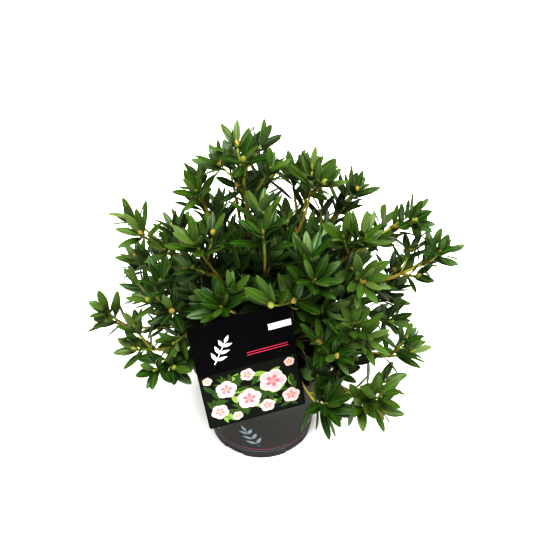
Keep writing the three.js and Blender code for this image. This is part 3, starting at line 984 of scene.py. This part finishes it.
shoot = {
    "radii": (2.0, 1.25),  # at the root and at the tip
    "lengths": (70, 60, 50, 40, 32),
    "bearings": 11,
    "sag": 0.26,  # how far a level leading stem bows down before it turns up, as a part of its length
    "uprightSag": 0.06,  # and an upright one
    "spread": 44,
    "lift": 0.7,
    "places": (0.04, 0.66),  # of the first and the last along the carrier
    "room": 11,  # least room round a side shoot's tip
    "drop": 24,  # how far a side shoot's tip may lie below the leading one
    "uprightDrop": 80,  # and how much further on an upright bough
}

twig = {
    "everyOnShoot": 31,  # one twig for this much of a shoot, and of a bough
    "everyOnBough": 20,
    "sparse": {"top": 43, "far_right": 60, "right_upper": 60},  # boughs whose shoots have fewer
    # boughs whose shoots stay single, with sky between them
    "bare": (
        "back_left", "back_right", "back_top_right", "back_top_left", "back", "left",
        "left_upper", "back_low_left", "low_right",
    ),
    "bearings": 9,
    "lengths": (56, 46, 38, 30),
    "spread": 42,
    "lift": 0.7,
    "places": (0.3, 0.85),
    "room": 22,  # least distance between two tips
    "inside": 16,  # how far a twig's tip stays inside its bough's reach
    "highest": 310,  # no twig's tip is higher, except on the leader
    "radii": (1.3, 1.0),
}

# Steps between the seeds of boughs, shoots and twigs
seedSteps = {
    "bough": 1000, "shoot": 50, "stem": 5, "limb": 100, "shootTwigs": 20000, "boughTwigs": 60000,
    "twig": 7, "leafyTwig": 3,
}

# Gaps in the crown that show sky: bearing, rise and half width in degrees, seen from the heart
openings = [(156, 48, 18), (17, 50, 11)]


def inOpening(point):
    way = unit(point - heart)
    return any(way @ direction(b, r) > cos(radians(half)) for b, r, half in openings)


awayFromOthers = [
    np.array([unit(plan["heading"] - other["heading"]) for other in boughs if other is not plan])
    for plan in boughs
]


# How far a point lies inside a bough's own space
def depthInSpace(point, plan):
    return (awayFromOthers[plan["index"]] @ (point - heart)).min()


# True where any of the points would be in the pot, the card or the floor, or would hide the card
def blocked(points):
    margin, gap, half = card["margin"], card["gap"], card["height"] / 2
    x, y, z = ((points - card["centre"]) @ cardAxes).T
    seen = y - card["sight"] * z  # where the line of sight through a point meets the card
    hiding = (z > 0) & (seen < half - card["overhang"]) & (seen > -half)
    touching = (np.abs(y) < half + margin) & (np.abs(z) < gap)
    atCard = (np.abs(x) < card["width"] / 2 + margin) & (touching | hiding)
    level = points[:, 2]
    wall = np.where(level < wallTop - margin, potWallRadius(level), pot["rimRadius"])
    inPot = (level < pot["height"] + margin) & (np.hypot(points[:, 0], points[:, 1]) < wall + margin)
    return bool((atCard | inPot | (level < gap)).any())


def leadingStem(plan):
    start, along = plan["bend"].at(1), plan["bend"].along(1)
    length = norm(plan["end"] - start)
    sag = mixed(shoot["sag"], shoot["uprightSag"], max(0, plan["heading"][2]))
    middle = start + along * length / 2 - up * length * sag
    return Bend(start, middle, plan["end"])


def leavingShoot(carrier, at, side, length, habit):
    start, along = carrier.at(at), carrier.along(at)
    spread = radians(habit["spread"])
    across = turnedAbout(sideways(along), along, side * goldenAngle)
    out = along * cos(spread) + across * sin(spread)
    turned = unit(out + up * habit["lift"])
    middle = start + out * length / 2
    return Bend(start, middle, middle + turned * length / 2)


# Of all shoots that may leave a carrier at this place, the one whose tip has the most room
def roomiest(carrier, at, turn, habit, roomAt):
    best, most = None, habit["room"]
    for side in range(habit["bearings"]):
        for length in habit["lengths"]:
            tried = leavingShoot(carrier, at, side + turn, length, habit)
            room = roomAt(tried.tip)
            if room > most and not blocked(tried.outer):
                best, most = tried, room
    return best


# A side shoot in its bough's own space, away from the bough's other tips
def sideShoot(plan, stem, number, tips):
    at = mixed(*shoot["places"], (number - 1) / max(1, plan["shoots"] - 2))
    lowest = plan["end"][2] - shoot["drop"] - shoot["uprightDrop"] * max(0, plan["heading"][2])

    def roomAt(tip):
        if norm(tip - heart) > plan["reach"] or tip[2] < lowest or inOpening(tip):
            return 0
        apart = min(norm(other - tip) for other in tips) / 2
        return min(depthInSpace(tip, plan), apart)

    return roomiest(stem, at, chance(plan["index"]), shoot, roomAt)


# A finer twig, away from every other tip
def fineTwig(plan, carrier, at, seed, tips):
    def roomAt(tip):
        outside = norm(tip - heart) > plan["reach"] - twig["inside"]
        tooHigh = tip[2] > twig["highest"] and plan["name"] != "top"
        if outside or tooHigh or inOpening(tip):
            return 0
        return norm(np.array(tips) - tip, axis=1).min()

    return roomiest(carrier, at, chance(seed), twig, roomAt)


# Ranks: 0 for a bough's leading stem, 1 for its side shoots, 2 for twigs
def growShoots():
    shoots, carriers = [], []
    for plan in boughs:
        own = [leadingStem(plan)]
        for number in range(1, plan["shoots"]):
            found = sideShoot(plan, own[0], number, [bend.tip for bend in own])
            if found:
                own.append(found)
        every = twig["sparse"].get(plan["name"], twig["everyOnShoot"])
        if plan["name"] in twig["bare"]:
            every = inf
        for number, bend in enumerate(own):
            seed = plan["index"] * seedSteps["bough"] + number * seedSteps["shoot"] + seedSteps["stem"]
            shoots.append({"bend": bend, "plan": plan, "seed": seed, "rank": min(number, 1)})
            carriers.append((bend, plan, seed + seedSteps["shootTwigs"], every))
    for plan in boughs:
        seed = plan["index"] * seedSteps["limb"] + seedSteps["boughTwigs"]
        carriers.append((plan["bend"], plan, seed, twig["everyOnBough"]))
    tips = [grown["bend"].tip for grown in shoots]
    for carrier, plan, firstSeed, every in carriers:
        count = int(carrier.length / every)
        for k in range(count):
            seed = firstSeed + k * seedSteps["twig"]
            at = mixed(*twig["places"], (k + 0.5) / count)
            found = fineTwig(plan, carrier, at, seed, tips)
            if found:
                tips.append(found.tip)
                shoots.append({"bend": found, "plan": plan, "seed": seed + seedSteps["leafyTwig"], "rank": 2})
    return shoots


shoots = growShoots()
print("shoots:", [sum(grown["rank"] == rank for grown in shoots) for rank in (0, 1, 2)])


# Leaves

leaf = {
    "length": 37,
    "width": 10.7,
    # boughs with larger or smaller ones
    "sizes": {
        "front_low": 1.2, "front_left_low": 1.1, "front": 1.12, "front_right": 1.15, "front_left": 1.06,
        "right_front": 1.06, "back_top_right": 1.15, "right_upper": 0.8, "far_right": 0.8, "left": 0.92,
        "left_low": 0.88, "low_right": 0.88, "low_front_right": 0.92,
    },
    "perRosette": (10, 9, 11),  # by rank
    "below": (2, 2, 3),
    # upper and left boughs with fewer leaves, and none below the rosettes
    "clear": ("top", "left_top", "right_top", "back_top_left", "left_upper", "left_front"),
    "clearRosette": 8,
    # outer boughs with fewer and rounder leaves
    "open": ("left", "left_low", "low_right", "low_front_right", "far_right", "right_upper"),
    "openRosette": 7,
    "openWidth": 1.2,
    "fewest": (3, 3, 6),  # by rank: a shoot with room for fewer leaves is left out
    "rosetteDepth": (8, 26),  # length of shoot that its leaves stand on, tight or loose by chance
    "spacing": 8,
    "lowest": 0.8,  # part of the shoot that may bear leaves, from its tip
    "belowBud": 0.8,  # part of the bud's length that the rosette stays below the tip
    "tilts": (24, 57),  # in the middle and at the outside of a rosette
    "tiltSpread": 22,
    "lift": 0.22,  # how far a leaf turns up from its place in the rosette
    "faceLight": 0.3,  # how far a leaf turns its face to the sky
    "growth": (0.72, 1.02),  # part of the full size, in the middle and at the outside
    "growthPower": 0.6,
    "sizeRange": (0.88, 1.1),
    "archRange": (0.02, 0.16),
    "swaySpread": 0.08,
    "petiole": 0.1,  # part of the length that is stalk
    "stalkWidth": 0.1,
    "tipWidth": 0.02,
    "fullest": 0.95,
    "bluntness": 0.6,
    "ribWidth": 0.6,
    "thickness": 0.1,
    "youngest": 0.16,  # part of the rosette, from its middle, that is paler
    "turnedShare": 0.0025,
    "spraySeeds": (70, 80),  # for tint and depth of the rosette
    "seeds": (1, 20, 33, 52, 61, 90),  # for tilt, size, arch, sway, width and turned colour
    "pastBox": 8,  # how far a leaf may stand out of the solids' box
    "checkEvery": 4,  # of a leaf's points, one in so many is tried against pot and card
    "bladeRoughness": 0.4,
    "otherSkins": {"leafMidrib": ("#4f6c2a", 0.5), "leafUnderside": ("#5f7344", 0.62)},
}

leafTints = {
    "deep": "#1f3509",
    "dark": "#2a450c",
    "mid": "#3e5413",
    "fresh": "#475b25",
    "young": "#586736",
    "turned": "#76702c",
}
# Dealt out by spray, those named twice more often
sprayTints = ("deep", "dark", "dark", "mid", "mid", "fresh")

bud = {
    "radius": 3.8,
    "slimRadius": 1.9,
    "length": 9,
    "plumpShare": 0.55,
    "tanShare": 0.5,  # part of the buds that have turned tan at the top
    "tanFrom": 0.42,
    "girthRange": (0.85, 1.1),
    "seeds": (40, 44, 47),  # for plumpness, girth and tan
    "neck": 0.1,
    "fullest": 0.9,
    "bluntness": 0.72,
    "point": 0.03,
    "scalesRound": 3,
    "scaleRows": 4,
    "scaleDepth": 0.13,
    "scaleEdge": 0.8,
    "skins": {"budScaleGreen": "#7d8339", "budScaleTan": "#8c7f42", "budScaleEdge": "#6f5d33"},
}


# Evergreen leaf blade: leathery, with a waxy skin that gives a soft broken gloss,
# its net of veins drawn coarser than real so that it shows
def leafMaterial(name, code, roughness):
    material, tree, place = newMaterial(name)
    skin = addNode(tree, "TexNoise", {"Scale": perSize(2.2), "Detail": 3}, {"Vector": place})
    limits = {"To Min": roughness - 0.08, "To Max": roughness + 0.1}
    gloss = addNode(tree, "MapRange", limits, {"Value": skin})
    relief = addNode(tree, "Bump", {"Strength": 0.3, "Distance": 0.15 * mm}, {"Height": skin})
    look = {"Base Color": linearColour(code), "IOR": 1.45, "Specular IOR Level": 0.45}
    shader = addNode(tree, "BsdfPrincipled", look, {"Roughness": gloss, "Normal": relief})
    addNode(tree, "OutputMaterial", {}, {"Surface": shader})
    return material


stations = np.array([0, 0.06, 0.13, 0.26, 0.42, 0.58, 0.74, 0.87, 0.96, 1.0])


# Half width along a leaf of length 1, as a part of its half width: stalk, then a long blunt ellipse
def bladeShare(t):
    s = np.clip((t - leaf["petiole"]) / (1 - leaf["petiole"]), 0, 1)
    blade = np.sin(pi * s ** leaf["fullest"]) ** leaf["bluntness"]
    return np.maximum(blade, leaf["stalkWidth"] * (1 - s) + leaf["tipWidth"])


# Across the leaf: how far out, in half widths or half ribs, and how high, in half widths
upperSection = [(-1, 0, 0.02), (-0.6, 0, 0.13), (0, -1, 0.0), (0, 1, 0.0), (0.6, 0, 0.13), (1, 0, 0.02)]
lowerSection = [(-1, 0, 0.0), (0, 0, -0.14), (1, 0, 0.0)]
upperCurve = 1.6  # how much more strongly the upper side is curved
ribColumn = 2

leafFaces = gridFaces(len(stations), len(upperSection))
upperCount = len(leafFaces)
upperPoints = len(stations) * len(upperSection)
leafFaces += [
    tuple(upperPoints + k for k in reversed(face)) for face in gridFaces(len(stations), len(lowerSection))
]


# One leaf along +Y with its upper face to +Z: margins rolled under, midrib sunk, tip arched down
def leafPoints(length, width, arch, sway):
    half = width / 2 * bladeShare(stations)
    rib = np.minimum(leaf["ribWidth"] / 2, half * 0.5)
    y = stations * length
    bow = -arch * length * stations ** 2
    bend = sway * length * stations ** 2
    sheets = []
    for section, curve, drop in ((upperSection, upperCurve, 0), (lowerSection, 1, leaf["thickness"])):
        columns = [
            np.stack([out * half + outRib * rib + bend, y, bow + rise * half * curve - drop], axis=1)
            for out, outRib, rise in section
        ]
        sheets.append(np.stack(columns, axis=1).reshape(-1, 3))
    return np.concatenate(sheets)


# The material of each face of a leaf in this tint
def leafPicks(tint):
    pick, rib, under = list(leafTints).index(tint), len(leafTints), len(leafTints) + 1
    row = [rib if column == ribColumn else pick for column in range(len(upperSection) - 1)]
    return row * (len(stations) - 1) + [under] * (len(leafFaces) - upperCount)


picksByTint = {tint: leafPicks(tint) for tint in leafTints}
boxLow = np.array(cadBox[0]) / mm - leaf["pastBox"]
boxHigh = np.array(cadBox[1]) / mm + leaf["pastBox"]


# How far back from the bud's foot each leaf stands: close in the rosette, wider apart below it
def leafDistance(i, rosette, depth):
    below = max(0, i - rosette + 1)
    return depth / rosette * min(i + 0.5, rosette) + below * leaf["spacing"]


# Where a leaf's side, length and upper face point, from the shoot's axis and the way across it
def leafAxes(axis, across, tilt):
    along = unit(axis * cos(tilt) + across * sin(tilt) + up * leaf["lift"] * sin(tilt))
    face = axis * sin(tilt) - across * cos(tilt)
    face = unit(face - along * (face @ along))
    toSky = up - along * along[2]
    face = unit(face + toSky * leaf["faceLight"])
    return np.array([np.cross(along, face), along, face])


def leafTint(tint, outward, turned):
    if turned:
        return "turned"
    if outward < leaf["youngest"]:
        return "young" if tint in ("mid", "fresh") else "fresh"
    return tint


# Adds a shoot's leaves where they have room, and returns how many
def addLeaves(heap, grown):
    bend, seed, rank, name = grown["bend"], grown["seed"], grown["rank"], grown["plan"]["name"]
    rosette, below, broad = leaf["perRosette"][rank], leaf["below"][rank], 1
    if name in leaf["clear"]:
        rosette, below = leaf["clearRosette"], 0
    elif name in leaf["open"]:
        rosette, broad = leaf["openRosette"], leaf["openWidth"]
    dealt, deep = (chance(seed + step) for step in leaf["spraySeeds"])
    tint = sprayTints[int(dealt * len(sprayTints))]
    depth = mixed(*leaf["rosetteDepth"], deep)
    kept = []
    for i in range(rosette + below):
        back = bud["length"] * leaf["belowBud"] + leafDistance(i, rosette, depth)
        if back > leaf["lowest"] * bend.length:
            continue
        tilted, large, arched, swayed, wide, turned = (chance(seed + i + step) for step in leaf["seeds"])
        outward = min(1, (i + 0.5) / rosette)
        at = 1 - back / bend.length
        axis = bend.along(at)
        across = turnedAbout(sideways(axis), axis, i * goldenAngle + chance(seed) * fullTurn)
        tilt = mixed(*leaf["tilts"], outward) + leaf["tiltSpread"] * (tilted - 0.5)
        axes = leafAxes(axis, across, radians(tilt))
        size = mixed(*leaf["growth"], outward ** leaf["growthPower"]) * mixed(*leaf["sizeRange"], large)
        size *= leaf["sizes"].get(name, 1)
        width = leaf["width"] * size * mixed(*leaf["sizeRange"], wide) * broad
        arch = mixed(*leaf["archRange"], arched)
        sway = leaf["swaySpread"] * (swayed - 0.5)
        points = leafPoints(leaf["length"] * size, width, arch, sway) @ axes + bend.at(at)
        outside = (points < boxLow).any() or (points > boxHigh).any()
        if outside or blocked(points[::leaf["checkEvery"]]):
            continue
        kept.append((points, leafTint(tint, outward, turned < leaf["turnedShare"])))
    grown["leafy"] = len(kept) >= leaf["fewest"][rank]
    if not grown["leafy"]:
        return 0
    for points, shade in kept:
        heap.add(points, leafFaces, picksByTint[shade])
    return len(kept)


def makeLeaves():
    rough = leaf["bladeRoughness"]
    skins = [leafMaterial("leafBlade." + tint, code, rough) for tint, code in leafTints.items()]
    skins += [leafMaterial(name, *look) for name, look in leaf["otherSkins"].items()]
    pieces = {"trunk": "trunkBoughLeaves", "top": "leaderBoughLeaves"}  # by the boughs' carrier
    for name in (*pieces.values(), "sideBoughLeaves"):
        heap = Heap()
        own = [plan["name"] for plan in boughs if pieces.get(plan["carrier"], "sideBoughLeaves") == name]
        made = sum(addLeaves(heap, grown) for grown in shoots if grown["plan"]["name"] in own)
        makePiece(name, heap, skins, ["leaves_" + bough for bough in own])
        print(name + ":", made, "leaves,", 2 * len(heap.faces), "triangles")


makeLeaves()
leafyShoots = [grown for grown in shoots if grown["leafy"] or grown["rank"] == 0]


# Twigs and buds

stemSkin = {
    "scarDepth": 0.14,
    "scarLayers": [(2, 3, 1, 1)],
    "woodyPart": (0.5, 0.5, 0.1),  # by rank: part of a shoot, from its root, that has begun to turn to wood
    "greenFrom": 0.75,
    "ringEvery": 6,
    "leastRings": 5,
    "sides": 7,
    "skins": {"woodyShoot": "#867a35", "ripeningShoot": "#949039", "greenShoot": "#818c3a"},
}


# Young shoot or bud scale: smooth green-yellow skin, tan where it has begun to turn to wood
def twigMaterial(name, code):
    material, tree, place = newMaterial(name)
    scar = addNode(tree, "TexNoise", {"Scale": perSize(1.6), "Detail": 4}, {"Vector": place})
    relief = addNode(tree, "Bump", {"Strength": 0.5, "Distance": 0.2 * mm}, {"Height": scar})
    gloss = addNode(tree, "MapRange", {"To Min": 0.5, "To Max": 0.7}, {"Value": scar})
    look = {"Base Color": linearColour(code), "IOR": 1.45}
    shader = addNode(tree, "BsdfPrincipled", look, {"Roughness": gloss, "Normal": relief})
    addNode(tree, "OutputMaterial", {}, {"Surface": shader})
    return material


def makeTwigs():
    heap = Heap()
    for grown in leafyShoots:
        bend, rank = grown["bend"], grown["rank"]
        habit = twig if rank == 2 else shoot
        neck = 1 - bud["length"] / bend.length
        count = max(stemSkin["leastRings"], int(bend.length * neck / stemSkin["ringEvery"]))
        rings = []
        for i in range(count + 1):
            rings.append((neck * i / count, mixed(*habit["radii"], i / count)))
        relief = noiseRelief(stemSkin["scarDepth"], stemSkin["scarLayers"], grown["seed"])
        points, faces = limbShape(bend, rings, stemSkin["sides"], relief)
        places = [k / len(faces) for k in range(len(faces))]
        woody, green = stemSkin["woodyPart"][rank], stemSkin["greenFrom"]
        heap.add(points, faces, [0 if t < woody else 1 + int(t > green) for t in places])
    skins = [twigMaterial(name, code) for name, code in stemSkin["skins"].items()]
    makePiece("leafyTwigs", heap, skins)
    print("twigs:", len(heap.faces), "faces")


# A bud of overlapping scales, plump where it holds a flower
def budShape(seed):
    sides, rows = 15, 11
    plump, broad, ripe = (chance(seed + step) for step in bud["seeds"])
    tanned = ripe < bud["tanShare"]
    radius = bud["radius"] if plump < bud["plumpShare"] else bud["slimRadius"]
    radius *= mixed(*bud["girthRange"], broad)
    points, picks = [], []
    for r in range(rows):
        t = r / (rows - 1)
        swollen = min(1, bud["neck"] + (1 - bud["neck"]) * t) ** bud["fullest"]
        girth = radius * (sin(pi * swollen) ** bud["bluntness"] if t < 1 else bud["point"])
        for c in range(sides):
            turn = c / sides
            scale = (turn * bud["scalesRound"] + t * bud["scaleRows"]) % 1
            swell = 1 + bud["scaleDepth"] * (scale - 0.5) * sin(pi * t)
            a = fullTurn * turn
            points.append((girth * swell * cos(a), girth * swell * sin(a), t * bud["length"]))
            if r < rows - 1:
                picks.append(2 if scale > bud["scaleEdge"] else int(tanned and t >= bud["tanFrom"]))
    return np.array(points), bodyFaces(rows, sides), picks + [0, int(tanned)]


def makeBuds():
    heap = Heap()
    for grown in leafyShoots:
        bend = grown["bend"]
        points, faces, picks = budShape(grown["seed"])
        axis = bend.along(1)
        side = sideways(axis)
        foot = bend.at(1 - bud["length"] / bend.length)
        heap.add(points @ np.array([side, np.cross(axis, side), axis]) + foot, faces, picks)
    skins = [twigMaterial(name, code) for name, code in bud["skins"].items()]
    makePiece("tipBuds", heap, skins)
    print("buds:", len(leafyShoots))


makeTwigs()
makeBuds()
